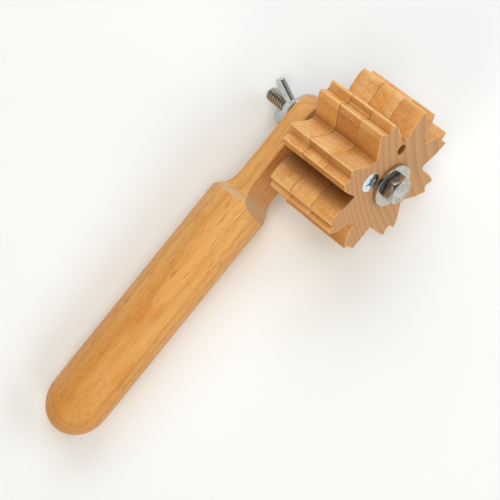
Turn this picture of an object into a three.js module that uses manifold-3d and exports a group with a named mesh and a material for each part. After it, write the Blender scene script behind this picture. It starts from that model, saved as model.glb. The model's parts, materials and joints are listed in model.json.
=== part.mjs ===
// Clay texture wheel: a wide wooden wheel with eight moulded teeth, glued up from three plies,
// turns on a hex bolt that a lock nut and a wing nut clamp to the flat arm of a wooden handle.
// Lengths are in millimetres and angles in degrees.
//
// In the tool's own frame the bolt lies along Y with its head at -Y, the handle runs along -X, and the
// wheel's front face lies in the plane y = 0. The finished tool is laid down as it lies on a table.
import * as THREE from "three";
import { mergeVertices } from "three/addons/utils/BufferGeometryUtils.js";
import Module from "manifold-3d";

// Driving dimensions of the wheel
const plyCount = 3;
const plyThickness = 11.1;
const glueLine = 0.1;
const toothCount = 8;
const wheelTurn = 16.3;
const curveSteps = 4;
const valleyRadius = 18.6;
const tipRadius = 31;

// Driving dimensions of the bolt, the nuts and the washers
const boltRadius = 3.1;
const boltLength = 70.6;
const threadPitch = 1.27;
const headAcrossFlats = 11.1;
const headHeight = 4.1;
const headTurn = 2;
const washerRadius = 9.3;
const washerBore = 3.95;
const washerThickness = 1.6;
const lockNutHeight = 5.56;
const wingNutHeight = 5.4;
const wingBossRadius = 5.9;
const wingBossTaper = 1.9;
const wingSpan = 24.5;
const wingTop = 13.7;
const wingWidth = 4.7;
const wingLean = 44;
const wingThickness = 2.6;
const wingTurn = 54;
const wingRoot = 3.6;
const wingFoot = 0.4;

// Driving dimensions of the handle
const armThickness = 8.4;
const armWidth = 19.9;
const gripRadius = 13;
const gripSetBack = 1.35;
const shoulderReach = 43.6;
const sideShoulderReach = 41.9;
const coveLength = 12.5;
const sideCoveLength = 6.5;
const coveBend = 0.12;
const buttReach = 160;
const buttDome = 15;

// Driving dimensions of the wood screw and the spare hole in the wheel's face
const screwHeadRadius = 4.3;
const screwHeadDepth = 2.9;
const screwShankRadius = 1.9;
const screwLength = 28;
const screwReach = 13.5;
const screwAngle = 111.2;
const spareHoleRadius = 2.1;
const spareHoleReach = 15.9;
const spareHoleAngle = 39.4;

// Clearances
const seat = 0.15;
const frontPlay = 0.3;
const backPlay = 0.9;
const boltClearance = 0.1;
const threadClearance = 0.1;
const screwClearance = 0.1;

// Places along the bolt, worked out from the stack of pieces on it
const wheelWidth = plyCount * plyThickness + (plyCount - 1) * glueLine;
const headWasherBack = -frontPlay;
const headUnderside = headWasherBack - washerThickness - seat;
const boltEnd = headUnderside + boltLength;
const wheelWasherFront = wheelWidth + backPlay;
const lockNutFront = wheelWasherFront + washerThickness + seat;
const armFront = lockNutFront + lockNutHeight + seat;
const armBack = armFront + armThickness;
const rearWasherFront = armBack + seat;
const wingNutFront = rearWasherFront + washerThickness + seat;
const gripAxis = (armFront + armBack) / 2 + gripSetBack;

const wasm = await Module();
wasm.setup();

const radians = THREE.MathUtils.degToRad;

// A geometry as a solid that can be cut and joined.
function solid(geometry) {
  const bare = geometry.clone();
  bare.deleteAttribute("normal");
  bare.deleteAttribute("uv");
  const merged = mergeVertices(bare, 1e-4);
  return new wasm.Manifold(
    new wasm.Mesh({
      numProp: 3,
      vertProperties: new Float32Array(merged.attributes.position.array),
      triVerts: new Uint32Array(merged.index.array),
    }),
  );
}

// A solid as a geometry with a normal on every face.
function shell(made) {
  const mesh = made.getMesh();
  const geometry = new THREE.BufferGeometry();
  geometry.setAttribute("position", new THREE.BufferAttribute(new Float32Array(mesh.vertProperties), 3));
  geometry.setIndex(new THREE.BufferAttribute(new Uint32Array(mesh.triVerts), 1));
  geometry.computeVertexNormals();
  return geometry;
}

// A slab whose outline, drawn in x and z as seen from the bolt's head, reaches along Y from front to back.
function slab(outline, front, back) {
  const geometry = new THREE.ExtrudeGeometry(outline, {
    depth: back - front,
    bevelEnabled: false,
    curveSegments: curveSteps,
  });
  return geometry.rotateX(Math.PI / 2).translate(0, back, 0);
}

// A turned piece about the bolt's axis, from [radius, y] pairs in order of y.
function turned(profile, sides = 48) {
  const points = profile.map(([radius, y]) => new THREE.Vector2(radius, y));
  return new THREE.LatheGeometry(points, sides);
}

// A plain round bar along Y for cutting holes, moved to x and z.
function drill(radius, front, back, x = 0, z = 0, sides = 40) {
  const bar = turned([[0, front], [radius, front], [radius, back], [0, back]], sides);
  return bar.translate(x, 0, z);
}

// A point in the wheel's plane at a distance and an angle from the bolt.
function polar(distance, degrees) {
  return new THREE.Vector2(distance, 0).rotateAround(new THREE.Vector2(), radians(degrees));
}

// One moulded tooth: a start point and steps, each [x, height] for a straight cut or
// [bend x, bend height, x, height] for a curved one. x is measured across the tooth, and height from the
// bolt's axis along the tooth's middle. Each tooth ends near the valley where the next one starts.
const mouldings = [
  {
    name: "tall tip and a sharp lip",
    start: [7.9, 18],
    cuts: [
      [6.8, 20.3], [6.9, 24.6, 6.2, 28.9], [5.7, 30.7, 4.3, 31.4], [0.3, 28.3], [-2, 31.6],
      [-4.3, 26.6, -5.1, 21.9], [-5.4, 19.8],
    ],
  },
  {
    name: "bowed fang",
    start: [7.5, 18.8],
    cuts: [
      [6.2, 23.6, 5.6, 28], [4.4, 30.4], [3.7, 30.4], [2.2, 29], [0.6, 28], [-0.5, 28.6],
      [-1.7, 30.8], [-2.5, 30.8], [-4.3, 28.2, -5, 25.3], [-5.6, 23], [-6, 20.1], [-7.1, 18.4],
    ],
  },
  {
    name: "hooked wave",
    start: [8, 19.4],
    cuts: [
      [7.3, 23, 6.7, 26.5], [4, 30.3], [2.2, 28.5], [1.4, 27.9, 0.6, 28.1], [-0.5, 29.1],
      [-2.2, 30.85], [-3.6, 28.6, -4.3, 25.2], [-4.9, 21.2, -6.6, 19.2], [-8, 18.6],
    ],
  },
  {
    name: "flat land and a blunt lip",
    start: [8, 19.5],
    cuts: [
      [6.4, 21.9], [5.6, 24.4, 5.9, 26.6], [4.7, 30.3], [3.6, 31.9], [2, 32], [0.4, 29.5],
      [0, 30.9, -1.9, 31.6], [-4.2, 29.9, -5.3, 26.2], [-5.8, 23, -7.6, 19.2],
    ],
  },
  {
    name: "sloping top with a low lip",
    start: [5.4, 19.2],
    cuts: [
      [4.7, 20.4], [3.9, 23.4, 3.4, 25.7], [1.8, 30.3], [-2.6, 29.3], [-4.1, 30.6],
      [-5.8, 28.4, -6.9, 25], [-8.1, 20.4],
    ],
  },
  {
    name: "crescent",
    start: [6.1, 16.3],
    cuts: [
      [5.6, 21.8, 3.7, 26.6], [2.9, 27.9], [2.2, 28.3], [1.6, 27.5], [0.5, 25.3, -0.9, 25.7],
      [-1.9, 26.5], [-2.5, 27.6], [-3.1, 28.4], [-3.9, 28], [-5.8, 25.2], [-8, 21.4],
    ],
  },
  {
    name: "leaning fork",
    start: [8.5, 16.9],
    cuts: [
      [8.1, 18.2], [7.4, 21.7], [6.7, 25, 5.3, 28.2], [5, 29.2, 4, 28.7], [2.6, 27.2],
      [1.7, 26.5, 1, 27.1], [0.1, 28.2], [-0.6, 29.1], [-3.4, 24.6, -4.6, 20.9], [-5.2, 17.6],
    ],
  },
  {
    name: "broad fork",
    start: [9.4, 18],
    cuts: [
      [8.1, 20.6], [7, 25], [5.7, 30.7], [4.4, 29.7], [3.4, 28.2], [-0.3, 30.8],
      [-3, 25.5, -3.6, 21.9], [-4, 19.3], [-4.9, 18.1],
    ],
  },
];

// The drawn heights run from the valleys to the tips: they are stretched to the wheel's own two radii. The
// widths follow the tips' radius and the room that each tooth has.
const drawnValley = 18.6;
const drawnTip = 31;
const widen = (tipRadius / drawnTip) * (mouldings.length / toothCount);
function height(drawn) {
  const share = (drawn - drawnValley) / (drawnTip - drawnValley);
  return THREE.MathUtils.lerp(valleyRadius, tipRadius, share);
}

// The wheel's outline: the mouldings one after another, clockwise in the drawing from the highest angle.
function wheelOutline() {
  const outline = new THREE.Shape();
  for (let k = toothCount - 1; k >= 0; k -= 1) {
    const { start, cuts } = mouldings[k % mouldings.length];
    const middle = polar(1, wheelTurn + (360 / toothCount) * k);
    const across = new THREE.Vector2(-middle.y, middle.x);
    const place = (x, drawn) =>
      middle.clone().multiplyScalar(height(drawn)).addScaledVector(across, widen * x);
    const first = place(...start);
    if (k === toothCount - 1) outline.moveTo(first.x, first.y);
    else outline.lineTo(first.x, first.y);
    for (const cut of cuts) {
      const end = place(...cut.slice(-2));
      if (cut.length === 2) {
        outline.lineTo(end.x, end.y);
      } else {
        const bend = place(...cut.slice(0, 2));
        outline.quadraticCurveTo(bend.x, bend.y, end.x, end.y);
      }
    }
  }
  outline.closePath();
  return outline;
}

const screwPlace = polar(screwReach, screwAngle);
const spareHolePlace = polar(spareHoleReach, spareHoleAngle);

// The countersunk screw's revolved form, grown outwards by a clearance.
function screwForm(grow) {
  const tip = screwLength + grow;
  const taper = screwShankRadius * 2;
  return turned(
    [
      [0, -grow],
      [screwHeadRadius + grow, -grow],
      [screwHeadRadius + grow, 0.4],
      [screwShankRadius + grow, screwHeadDepth + grow],
      [screwShankRadius + grow, tip - taper],
      [0, tip],
    ],
    32,
  ).translate(screwPlace.x, 0, screwPlace.y);
}

// One ply of the wheel, with the bolt's hole, the screw's hole and, in the front ply, the spare hole.
function plyGeometry(index) {
  const front = index * (plyThickness + glueLine);
  const back = front + plyThickness;
  let ply = solid(slab(wheelOutline(), front, back));
  ply = ply.subtract(solid(drill(boltRadius + boltClearance, front - 1, back + 1)));
  ply = ply.subtract(solid(screwForm(screwClearance)));
  if (index === 0) {
    const { x, y } = spareHolePlace;
    ply = ply.subtract(solid(drill(spareHoleRadius, front - 1, back + 1, x, y, 24)));
  }
  return shell(ply);
}

// A hexagon's outline with its flats the given distance apart.
function hexagon(acrossFlats) {
  const corner = acrossFlats / Math.sqrt(3);
  const points = Array.from({ length: 6 }, (_, k) => polar(corner, headTurn + 60 * k));
  return new THREE.Shape(points);
}

// A hexagonal prism from front to back whose corners are turned off at the ends that are chamfered.
function hexPrism(acrossFlats, front, back, chamferFront, chamferBack) {
  const inscribed = acrossFlats / 2;
  const corner = acrossFlats / Math.sqrt(3);
  const run = (corner - inscribed) * 0.8;
  const flat = inscribed * 0.94;
  const blank = turned([
    [0, front],
    [chamferFront ? flat : corner + 1, front],
    [corner + 0.1, front + run],
    [corner + 0.1, back - run],
    [chamferBack ? flat : corner + 1, back],
    [0, back],
  ]);
  return solid(slab(hexagon(acrossFlats), front, back)).intersect(solid(blank));
}

function boltGeometry() {
  const chamfer = threadPitch * 0.63;
  const shank = turned(
    [
      [0, headUnderside - headHeight / 2],
      [boltRadius, headUnderside - headHeight / 2],
      [boltRadius, boltEnd - chamfer],
      [boltRadius - chamfer, boltEnd],
      [0, boltEnd],
    ],
    40,
  );
  const head = hexPrism(headAcrossFlats, headUnderside - headHeight, headUnderside, true, false);
  return shell(head.add(solid(shank)));
}

function washerGeometry(front) {
  const back = front + washerThickness;
  const ease = washerThickness * 0.15;
  return turned([
    [washerBore, front],
    [washerRadius - ease, front],
    [washerRadius, front + ease],
    [washerRadius, back - ease],
    [washerRadius - ease, back],
    [washerBore, back],
    [washerBore, front],
  ]);
}

function lockNutGeometry() {
  const back = lockNutFront + lockNutHeight;
  const nut = hexPrism(headAcrossFlats, lockNutFront, back, true, true);
  return shell(nut.subtract(solid(drill(boltRadius + threadClearance, lockNutFront - 1, back + 1))));
}

// One wing seen along its face, in distance from the bolt's axis and height above the nut's base: a bar
// that leans out of the boss from the root's height up to a blunt end with round corners.
function wingOutline() {
  const corner = wingWidth * 0.3;
  const lean = new THREE.Vector2(Math.sin(radians(wingLean)), Math.cos(radians(wingLean)));
  const across = new THREE.Vector2(lean.y, -lean.x);
  const inner = new THREE.Vector2(wingSpan / 2 - wingWidth * across.x, wingTop);
  const outer = inner.clone().addScaledVector(across, wingWidth);
  const from = (end, down, over) => end.clone().addScaledVector(lean, -down).addScaledVector(across, over);
  const outerRoot = from(outer, (outer.y - wingRoot) / lean.y, 0);
  const innerRoot = from(inner, (inner.y - wingNutHeight + wingFoot) / lean.y, 0);
  const bend = from(outerRoot, wingRoot * 0.28, 0);
  const wing = new THREE.Shape();
  const straight = ({ x, y }) => wing.lineTo(x, y);
  const curved = (by, to) => wing.quadraticCurveTo(by.x, by.y, to.x, to.y);
  wing.moveTo(0, wingFoot);
  wing.lineTo(bend.x, wingFoot);
  curved(bend, outerRoot);
  straight(from(outer, corner, 0));
  curved(outer, from(outer, 0, -corner));
  straight(from(inner, 0, corner));
  curved(inner, from(inner, corner, 0));
  straight(innerRoot);
  wing.lineTo(0, innerRoot.y);
  wing.closePath();
  return wing;
}

function wingNutGeometry() {
  const round = 0.7;
  const bossTop = wingBossRadius - wingBossTaper;
  const boss = turned([
    [0, 0],
    [wingBossRadius - 0.2, 0],
    [wingBossRadius, 0.5],
    [wingBossRadius, 1.3],
    [bossTop, wingNutHeight],
    [0, wingNutHeight],
  ]);
  const wing = new THREE.ExtrudeGeometry(wingOutline(), {
    depth: wingThickness - 2 * round,
    bevelEnabled: true,
    bevelThickness: round,
    bevelSize: round,
    bevelOffset: -round,
    bevelSegments: 2,
    curveSegments: 5,
  }).translate(0, 0, round - wingThickness / 2);
  const otherWing = wing.clone().rotateY(Math.PI);
  const bore = solid(drill(boltRadius + threadClearance, -1, wingTop));
  const nut = solid(boss).add(solid(wing)).add(solid(otherWing)).subtract(bore);
  return shell(nut).rotateY(-radians(wingTurn)).translate(0, wingNutFront, 0);
}

// The handle starts as a round bar with a domed butt. A saw outline seen from above and one seen from the
// front then leave the arm, its round end and the coves that run out onto the bar.
function handleGeometry() {
  const barEnd = armWidth / 2 + 1;
  const domeSteps = 8;
  const profile = [[0, barEnd], [gripRadius, barEnd]];
  for (let k = 0; k <= domeSteps; k += 1) {
    const angle = (Math.PI / 2) * (k / domeSteps);
    profile.push([gripRadius * Math.cos(angle), -buttReach + buttDome * (1 - Math.sin(angle))]);
  }
  profile[profile.length - 1][0] = 0;
  const bar = turned(profile.reverse(), 64)
    .rotateZ(-Math.PI / 2)
    .translate(0, gripAxis, 0);

  const far = gripRadius * 2;
  const corner = -shoulderReach;
  const cove = corner + coveLength;
  const side = new THREE.Shape();
  side.moveTo(barEnd + 2, armFront);
  side.lineTo(cove, armFront);
  side.quadraticCurveTo(corner + coveLength * coveBend, armFront, corner, gripAxis - gripRadius);
  side.lineTo(corner, gripAxis - far);
  side.lineTo(-buttReach - 2, gripAxis - far);
  side.lineTo(-buttReach - 2, gripAxis + far);
  side.lineTo(corner, gripAxis + far);
  side.lineTo(corner, gripAxis + gripRadius);
  side.quadraticCurveTo(corner + coveLength * coveBend, armBack, cove, armBack);
  side.lineTo(barEnd + 2, armBack);
  side.closePath();
  const sideCut = new THREE.ExtrudeGeometry(side, {
    depth: far * 2,
    bevelEnabled: false,
    curveSegments: 10,
  }).translate(0, 0, -far);

  const half = armWidth / 2;
  const sideCorner = -sideShoulderReach;
  const sideCove = sideCorner + sideCoveLength;
  const plan = new THREE.Shape();
  plan.moveTo(0, half);
  plan.lineTo(sideCove, half);
  plan.quadraticCurveTo(sideCorner + sideCoveLength * coveBend, half, sideCorner, gripRadius);
  plan.lineTo(sideCorner, far);
  plan.lineTo(-buttReach - 2, far);
  plan.lineTo(-buttReach - 2, -far);
  plan.lineTo(sideCorner, -far);
  plan.lineTo(sideCorner, -gripRadius);
  plan.quadraticCurveTo(sideCorner + sideCoveLength * coveBend, -half, sideCove, -half);
  plan.lineTo(0, -half);
  plan.absarc(0, 0, half, -Math.PI / 2, Math.PI / 2, false);
  const planCut = new THREE.ExtrudeGeometry(plan, {
    depth: far * 2,
    bevelEnabled: false,
    curveSegments: 14,
  })
    .rotateX(Math.PI / 2)
    .translate(0, gripAxis + far, 0);

  let handle = solid(bar).intersect(solid(sideCut)).intersect(solid(planCut));
  handle = handle.subtract(solid(drill(boltRadius + boltClearance, armFront - 1, armBack + 1)));
  return shell(handle);
}

const beech = () => new THREE.MeshStandardMaterial({ color: 0xd9a066, roughness: 0.62, metalness: 0 });
const beechFace = () => new THREE.MeshStandardMaterial({ color: 0xcb9e76, roughness: 0.7, metalness: 0 });
const zinc = () => new THREE.MeshStandardMaterial({ color: 0xb9bcc0, roughness: 0.32, metalness: 1 });
const steel = () => new THREE.MeshStandardMaterial({ color: 0x9a968e, roughness: 0.42, metalness: 1 });

function piece(name, geometry, material) {
  const mesh = new THREE.Mesh(geometry, material);
  mesh.name = name;
  return mesh;
}

const handle = piece("handle", handleGeometry(), beech());
const bolt = piece("axle_bolt", boltGeometry(), steel());
const wingNut = piece("wing_nut", wingNutGeometry(), zinc());
const screw = piece("ply_screw", screwForm(0), zinc());
const plyNames = ["wheel_ply_front", "wheel_ply_middle", "wheel_ply_rear"];
const plies = Array.from({ length: plyCount }, (_, k) =>
  piece(plyNames[k] ?? `wheel_ply_${k + 1}`, plyGeometry(k), k === 0 ? beechFace() : beech()),
);

const tool = new THREE.Group();
tool.add(handle, bolt, wingNut, screw, ...plies);
tool.add(piece("head_washer", washerGeometry(headWasherBack - washerThickness), zinc()));
tool.add(piece("wheel_washer", washerGeometry(wheelWasherFront), zinc()));
tool.add(piece("lock_nut", lockNutGeometry(), steel()));
tool.add(piece("rear_washer", washerGeometry(rearWasherFront), zinc()));

// The corner of a piece that lies lowest against an upward direction.
function lowest(mesh, up) {
  const corners = mesh.geometry.attributes.position;
  const corner = new THREE.Vector3();
  const best = new THREE.Vector3();
  let least = Infinity;
  for (let k = 0; k < corners.count; k += 1) {
    corner.fromBufferAttribute(corners, k);
    const above = corner.dot(up);
    if (above < least) {
      least = above;
      best.copy(corner);
    }
  }
  return best;
}

// On a table the tool stands on the rear ply's rim, one wing of the nut and the handle's butt. The table's
// upward direction is found by laying a plane on those three until it no longer changes.
const up = new THREE.Vector3(0, -0.45, 0.9).normalize();
for (let round = 0; round < 12; round += 1) {
  const [rim, wing, butt] = [plies[plyCount - 1], wingNut, handle].map((mesh) => lowest(mesh, up));
  up.crossVectors(wing.clone().sub(rim), butt.clone().sub(rim)).normalize();
  if (up.z < 0) up.negate();
}
const along = new THREE.Vector3(1, 0, 0).addScaledVector(up, -up.x).normalize();
const over = new THREE.Vector3().crossVectors(up, along);
tool.quaternion.setFromRotationMatrix(new THREE.Matrix4().makeBasis(along, over, up).transpose());

// The origin is the middle of the tool's footprint on the table.
const part = new THREE.Group();
part.add(tool);
part.updateMatrixWorld(true);
const box = new THREE.Box3().setFromObject(part, true);
const centre = box.getCenter(new THREE.Vector3());
tool.position.set(-centre.x, -centre.y, -box.min.z);

export default part;
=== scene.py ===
"""The looks of the clay texture wheel: a laminated wheel of moulded teeth on a bolt, and a turned handle.

Shapes are worked out in the tool's own frame, in millimetres: the bolt lies along y with its head at -y,
the handle runs along -x, and the wheel's front face is the plane y = 0. The wheel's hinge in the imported
frame gives the place of that frame, and every mesh is moved there before it is stored in metres.
"""

import json
import math

import bmesh
import bpy
import numpy as np
from mathutils import Matrix, Vector
from mathutils.geometry import delaunay_2d_cdt


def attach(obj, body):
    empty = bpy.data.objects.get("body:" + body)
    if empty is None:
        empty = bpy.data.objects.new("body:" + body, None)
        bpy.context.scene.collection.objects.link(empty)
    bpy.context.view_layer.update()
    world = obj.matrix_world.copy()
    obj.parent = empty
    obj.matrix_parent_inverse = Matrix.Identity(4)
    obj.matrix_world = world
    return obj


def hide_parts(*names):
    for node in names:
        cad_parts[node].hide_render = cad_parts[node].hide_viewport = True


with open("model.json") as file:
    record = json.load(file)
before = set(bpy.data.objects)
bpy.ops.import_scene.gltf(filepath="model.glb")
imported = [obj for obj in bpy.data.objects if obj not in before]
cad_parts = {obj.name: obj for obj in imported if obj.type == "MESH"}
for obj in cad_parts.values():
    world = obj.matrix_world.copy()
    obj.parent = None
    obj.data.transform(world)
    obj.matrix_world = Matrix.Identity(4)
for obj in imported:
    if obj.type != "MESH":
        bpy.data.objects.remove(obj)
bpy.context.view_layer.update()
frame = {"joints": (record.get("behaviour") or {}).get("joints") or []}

MM = 0.001
TURN = 2 * math.pi

# The wheel, with the rounding of its outer edges and of the edges at its glue lines, and the spacing of the
# points on its two outer faces
PLY_COUNT = 3
PLY_THICKNESS = 11.1
GLUE_LINE = 0.1
WHEEL_TURN = 16.3
BORE_RADIUS = 3.2
OUTER_ARRIS = 0.22
GLUED_ARRIS = 0.09
FACE_SPACING = 0.6

# Marks on the wheel's points: the blurs of the outline that give its fine and its broad relief, how soon
# relief fades on a flat face, the largest inset, and the hollow of a hole's wall
FINE_RELIEF = 0.9
BROAD_RELIEF = 3.6
RELIEF_FADE = 0.5
INSET_LIMIT = 4.0
HOLE_HOLLOW = -3.0

# The bolt, the nuts and the washers
BOLT_RADIUS = 3.1
THREAD_PITCH = 1.27
THREAD_DEPTH = 0.68
THREAD_ROOT = 0.12
THREAD_FLANK = 0.7
THREAD_RUN_IN = 1.5
END_CHAMFER = 0.75
HEAD_FRONT = -6.15
HEAD_BACK = -2.05
HEAD_TURN = 2.0
BOLT_END = 68.55
HEX_APOTHEM = 5.55
WASHER_RADIUS = 9.3
WASHER_BORE = 3.95
WASHER_THICKNESS = 1.6
HEAD_WASHER_FRONT = -1.9
WHEEL_WASHER_FRONT = 34.4
LOCK_NUT_FRONT = 36.15
LOCK_NUT_HEIGHT = 5.56
REAR_WASHER_FRONT = 50.41
WING_NUT_FRONT = 52.16
WING_NUT_HEIGHT = 5.4
WING_BOSS_RADIUS = 5.9
WING_BOSS_TAPER = 1.9
WING_SPAN = 24.5
WING_TOP = 13.7
WING_WIDTH = 4.7
WING_LEAN = 44.0
WING_THICKNESS = 2.6
WING_TURN = 54.0
WING_ROOT = 3.6
WING_FOOT = 0.4

# The handle
ARM_FRONT = 41.86
ARM_BACK = 50.26
ARM_HALF_WIDTH = 9.95
GRIP_RADIUS = 13.0
GRIP_AXIS = 47.41
SHOULDER = -43.6
SIDE_SHOULDER = -41.9
COVE_LENGTH = 12.5
SIDE_COVE_LENGTH = 6.5
COVE_BEND = 0.12
BUTT_END = -160.0
BUTT_DOME = 15.0

# The wood screw, the cross recess in its head, and the spare hole. A place is a distance and an angle.
SCREW_RADIUS = 4.3
SCREW_LIP = 0.4
SCREW_DEPTH = 2.9
SCREW_SHANK = 1.9
SCREW_LENGTH = 28.0
SCREW_CROWN = 0.18
SCREW_PLACE = (13.5, 111.2)
RECESS_TURN = 28.0
RECESS_ARM = 0.62
RECESS_REACH = 2.6
RECESS_CENTRE = 1.05
RECESS_DEPTH = 2.0
SPARE_HOLE_RADIUS = 2.1
SPARE_HOLE_PLACE = (15.9, 39.4)


def tool_axes():
    """The tool's frame in the row's, in metres: y is the wheel's hinge, and x is square to the row's Y."""
    hinge = next(j for j in frame["joints"] if j["name"] == "wheel_spin")
    y = Vector(hinge["axis"]).normalized()
    x = Vector((-y.z, 0.0, y.x)).normalized()
    z = x.cross(y)
    return Vector(hinge["pos_m"]), x, y, z


TOOL_ORIGIN, TOOL_X, TOOL_Y, TOOL_Z = tool_axes()
TOOL_MATRIX = Matrix((TOOL_X, TOOL_Y, TOOL_Z)).transposed()


def in_row(points):
    """Points in the tool's frame, in millimetres, as points in the row's frame, in metres."""
    axes = np.array([TOOL_X, TOOL_Y, TOOL_Z], float)
    return np.array(TOOL_ORIGIN, float) + np.asarray(points, float) @ axes * MM


def polar(place):
    """A distance and an angle in the wheel's plane as x and z."""
    distance, degrees = place
    return distance * math.cos(math.radians(degrees)), distance * math.sin(math.radians(degrees))


# Meshes


def grid(points, closed_rows=False):
    """A grid of points, rows by columns by 3, as points and quads. Its columns close on themselves, and its
    rows do too where asked: the quad at row i and column j has the corners (i, j) to (i + 1, j + 1)."""
    rows, columns = points.shape[:2]
    row = np.arange(rows if closed_rows else rows - 1)[:, None]
    column = np.arange(columns)[None, :]
    after = (row + 1) % rows
    beside = (column + 1) % columns
    here = row * columns
    there = after * columns
    corners = [here + column, here + beside, there + beside, there + column]
    quads = np.stack(np.broadcast_arrays(*corners), axis=-1).reshape(-1, 4)
    return points.reshape(-1, 3), quads.tolist()


def lid(points):
    """One flat face over a closed loop of points."""
    return points, [list(range(len(points)))]


def placed(name, data):
    """A new object in the scene for a mesh, a light or a camera."""
    made = bpy.data.objects.new(name, data)
    bpy.context.scene.collection.objects.link(made)
    return made


def piece_of(name, parts, sharp=38.0, marks=None):
    """One object from parts of points and faces in the tool's frame. Points that fall together are merged,
    faces are turned outwards, and edges steeper than the given angle stay sharp. marks are values for each
    point, stored as attributes under their names."""
    starts = np.cumsum([0] + [len(points) for points, _ in parts])
    points = np.concatenate([points for points, _ in parts])
    faces = [[start + k for k in face] for start, (_, found) in zip(starts, parts) for face in found]
    mesh = bpy.data.meshes.new(name)
    mesh.from_pydata(in_row(points).tolist(), [], faces)
    for mark, values in (marks or {}).items():
        layer = mesh.attributes.new(mark, "FLOAT", "POINT")
        layer.data.foreach_set("value", np.concatenate(values).astype(np.float32))
    bm = bmesh.new()
    bm.from_mesh(mesh)
    bmesh.ops.remove_doubles(bm, verts=bm.verts, dist=2e-6)
    bmesh.ops.dissolve_degenerate(bm, edges=bm.edges, dist=1e-7)
    bmesh.ops.recalc_face_normals(bm, faces=bm.faces)
    bm.to_mesh(mesh)
    bm.free()
    mesh.shade_smooth()
    mesh.set_sharp_from_angle(angle=math.radians(sharp))
    return placed(name, mesh)


def turned(radius, height, columns, place=(0.0, 0.0)):
    """A grid about an axis along y at place: the point at angle a is (radius sin a, height, radius cos a).
    radius and height are lists by row, or arrays of rows by columns."""
    angle = TURN * np.arange(columns) / columns
    radius = np.asarray(radius, float)
    height = np.asarray(height, float)
    radius = radius[:, None] if radius.ndim == 1 else radius
    height = height[:, None] if height.ndim == 1 else height
    radius, height, angle = np.broadcast_arrays(radius, height, angle[None, :])
    return np.stack([place[0] + radius * np.sin(angle), height, place[1] + radius * np.cos(angle)], axis=-1)


def bends(start, middle, end, steps, endpoint=True):
    """Quadratic bends: (1 - t)^2 start + 2 t (1 - t) middle + t^2 end, for t from 0 to 1."""
    t = np.linspace(0, 1, steps, endpoint=endpoint)[:, None]
    return (1 - t) ** 2 * np.asarray(start) + 2 * t * (1 - t) * np.asarray(middle) + t**2 * np.asarray(end)


def rounded(profile, radius, steps=4):
    """A closed profile of [radius, height] corners with each corner rounded by a quadratic bend."""
    corners = np.asarray(profile, float)
    before = np.roll(corners, 1, axis=0) - corners
    after = np.roll(corners, -1, axis=0) - corners
    length_before = np.linalg.norm(before, axis=1, keepdims=True)
    length_after = np.linalg.norm(after, axis=1, keepdims=True)
    reach = np.minimum(radius, 0.45 * np.minimum(length_before, length_after))
    start = corners + before / length_before * reach
    end = corners + after / length_after * reach
    return np.concatenate([bends(*corner, steps) for corner in zip(start, corners, end)])


def hexagon_radius(angle, apothem, turn, sharpness=90):
    """Distance to a hexagon's side in each direction: the apothem over a power mean of the cosines to the six
    flats, which rounds the corners a little."""
    flats = np.radians(turn + 30 + 60 * np.arange(6))
    reach = np.clip(np.cos(angle[..., None] - flats), 0, None) ** sharpness
    return apothem * np.sum(reach, axis=-1) ** (-1 / sharpness)


# The wheel

# Each tooth: a start point and cuts, [x, height] for a straight cut or [bend x, bend height, x, height] for
# a curved one. x is measured across the tooth and height from the bolt's axis along the tooth's middle.
MOULDINGS = [
    [[7.9, 18], [6.8, 20.3], [6.9, 24.6, 6.2, 28.9], [5.7, 30.7, 4.3, 31.4], [0.3, 28.3], [-2, 31.6],
     [-4.3, 26.6, -5.1, 21.9], [-5.4, 19.8]],
    [[7.5, 18.8], [6.2, 23.6, 5.6, 28], [4.4, 30.4], [3.7, 30.4], [2.2, 29], [0.6, 28], [-0.5, 28.6],
     [-1.7, 30.8], [-2.5, 30.8], [-4.3, 28.2, -5, 25.3], [-5.6, 23], [-6, 20.1], [-7.1, 18.4]],
    [[8, 19.4], [7.3, 23, 6.7, 26.5], [4, 30.3], [2.2, 28.5], [1.4, 27.9, 0.6, 28.1], [-0.5, 29.1],
     [-2.2, 30.85], [-3.6, 28.6, -4.3, 25.2], [-4.9, 21.2, -6.6, 19.2], [-8, 18.6]],
    [[8, 19.5], [6.4, 21.9], [5.6, 24.4, 5.9, 26.6], [4.7, 30.3], [3.6, 31.9], [2, 32], [0.4, 29.5],
     [0, 30.9, -1.9, 31.6], [-4.2, 29.9, -5.3, 26.2], [-5.8, 23, -7.6, 19.2]],
    [[5.4, 19.2], [4.7, 20.4], [3.9, 23.4, 3.4, 25.7], [1.8, 30.3], [-2.6, 29.3], [-4.1, 30.6],
     [-5.8, 28.4, -6.9, 25], [-8.1, 20.4]],
    [[6.1, 16.3], [5.6, 21.8, 3.7, 26.6], [2.9, 27.9], [2.2, 28.3], [1.6, 27.5], [0.5, 25.3, -0.9, 25.7],
     [-1.9, 26.5], [-2.5, 27.6], [-3.1, 28.4], [-3.9, 28], [-5.8, 25.2], [-8, 21.4]],
    [[8.5, 16.9], [8.1, 18.2], [7.4, 21.7], [6.7, 25, 5.3, 28.2], [5, 29.2, 4, 28.7], [2.6, 27.2],
     [1.7, 26.5, 1, 27.1], [0.1, 28.2], [-0.6, 29.1], [-3.4, 24.6, -4.6, 20.9], [-5.2, 17.6]],
    [[9.4, 18], [8.1, 20.6], [7, 25], [5.7, 30.7], [4.4, 29.7], [3.4, 28.2], [-0.3, 30.8],
     [-3, 25.5, -3.6, 21.9], [-4, 19.3], [-4.9, 18.1]],
]


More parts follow.
